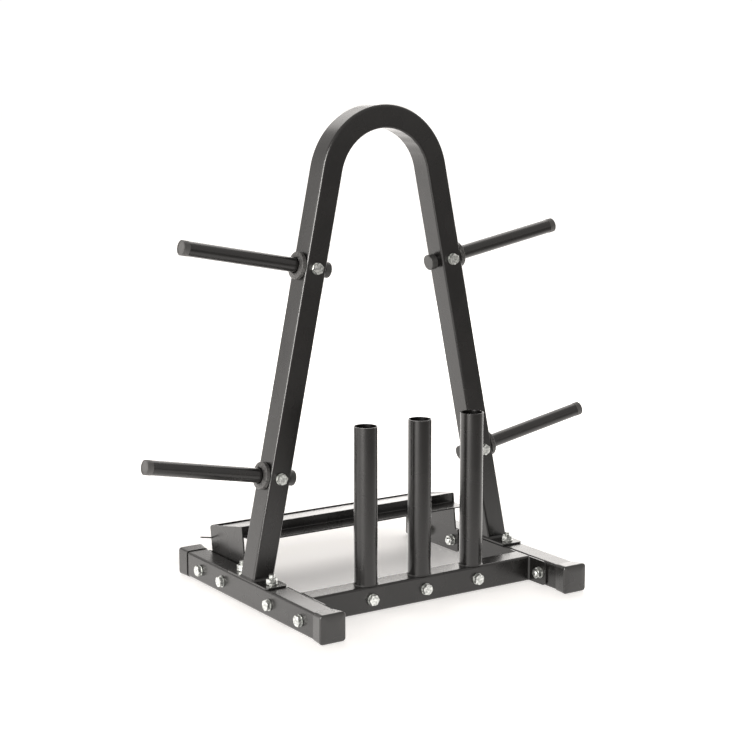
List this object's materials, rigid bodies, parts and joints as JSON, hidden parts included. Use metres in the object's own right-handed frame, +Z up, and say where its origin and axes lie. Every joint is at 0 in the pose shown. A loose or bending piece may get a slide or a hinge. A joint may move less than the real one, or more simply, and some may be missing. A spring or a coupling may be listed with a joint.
{
  "type": "weight storage rack",
  "caption": "Free-standing rack: a bent arch upright on two feet, with tilted plate pegs, a crossbar with open vertical bar holders and a rear shelf of bent sheet.",
  "frame": {"origin": "on the floor, at the middle of the footprint: the centre of the bounding box's bottom", "axes": "+X to the right along the crossbar, seen from the bar holders' side; -Y is the front, where the bar holders stand; +Z up"},
  "size_m": [0.9126, 0.488, 0.84],
  "materials": {
    "black_powder_coat": "satin black powder coat",
    "dark_grey_plastic": "moulded matte dark grey",
    "grey_plastic": "moulded matte grey",
    "zinc_plated_steel": "bright zinc plated"
  },
  "bodies": {
    "root": {"foot_left": "black_powder_coat", "foot_right": "black_powder_coat", "foot_cap_left_front": "dark_grey_plastic", "foot_cap_left_back": "dark_grey_plastic", "foot_cap_right_front": "dark_grey_plastic", "foot_cap_right_back": "dark_grey_plastic", "upright": "black_powder_coat", "base_plate_left": "black_powder_coat", "base_plate_right": "black_powder_coat", "base_bolt_left_front": "zinc_plated_steel", "base_bolt_left_back": "zinc_plated_steel", "base_bolt_right_front": "zinc_plated_steel", "base_bolt_right_back": "zinc_plated_steel", "peg_upper_left": "black_powder_coat", "peg_upper_right": "black_powder_coat", "peg_lower_left": "black_powder_coat", "peg_lower_right": "black_powder_coat", "peg_collar_upper_left": "black_powder_coat", "peg_collar_upper_right": "black_powder_coat", "peg_collar_lower_left": "black_powder_coat", "peg_collar_lower_right": "black_powder_coat", "peg_tip_cap_upper_left": "grey_plastic", "peg_tip_cap_upper_right": "grey_plastic", "peg_tip_cap_lower_left": "grey_plastic", "peg_tip_cap_lower_right": "grey_plastic", "peg_stub_cap_upper_left": "grey_plastic", "peg_stub_cap_upper_right": "grey_plastic", "peg_stub_cap_lower_left": "grey_plastic", "peg_stub_cap_lower_right": "grey_plastic", "peg_bolt_upper_left": "zinc_plated_steel", "peg_bolt_upper_right": "zinc_plated_steel", "peg_bolt_lower_left": "zinc_plated_steel", "peg_bolt_lower_right": "zinc_plated_steel", "crossbar": "black_powder_coat", "crossbar_end_plate_left": "black_powder_coat", "crossbar_end_plate_right": "black_powder_coat", "crossbar_bolt_left_front": "zinc_plated_steel", "crossbar_bolt_left_back": "zinc_plated_steel", "crossbar_bolt_right_front": "zinc_plated_steel", "crossbar_bolt_right_back": "zinc_plated_steel", "bar_holder_left": "black_powder_coat", "bar_holder_middle": "black_powder_coat", "bar_holder_right": "black_powder_coat", "holder_bolt_left": "zinc_plated_steel", "holder_bolt_middle": "zinc_plated_steel", "holder_bolt_right": "zinc_plated_steel", "rear_shelf": "black_powder_coat", "rear_bracket_left": "black_powder_coat", "rear_bracket_right": "black_powder_coat", "bracket_bolt_left_front": "zinc_plated_steel", "bracket_bolt_left_back": "zinc_plated_steel", "bracket_bolt_right_front": "zinc_plated_steel", "bracket_bolt_right_back": "zinc_plated_steel", "bracket_pin_left": "zinc_plated_steel", "bracket_pin_right": "zinc_plated_steel"}
  },
  "joints": []
}
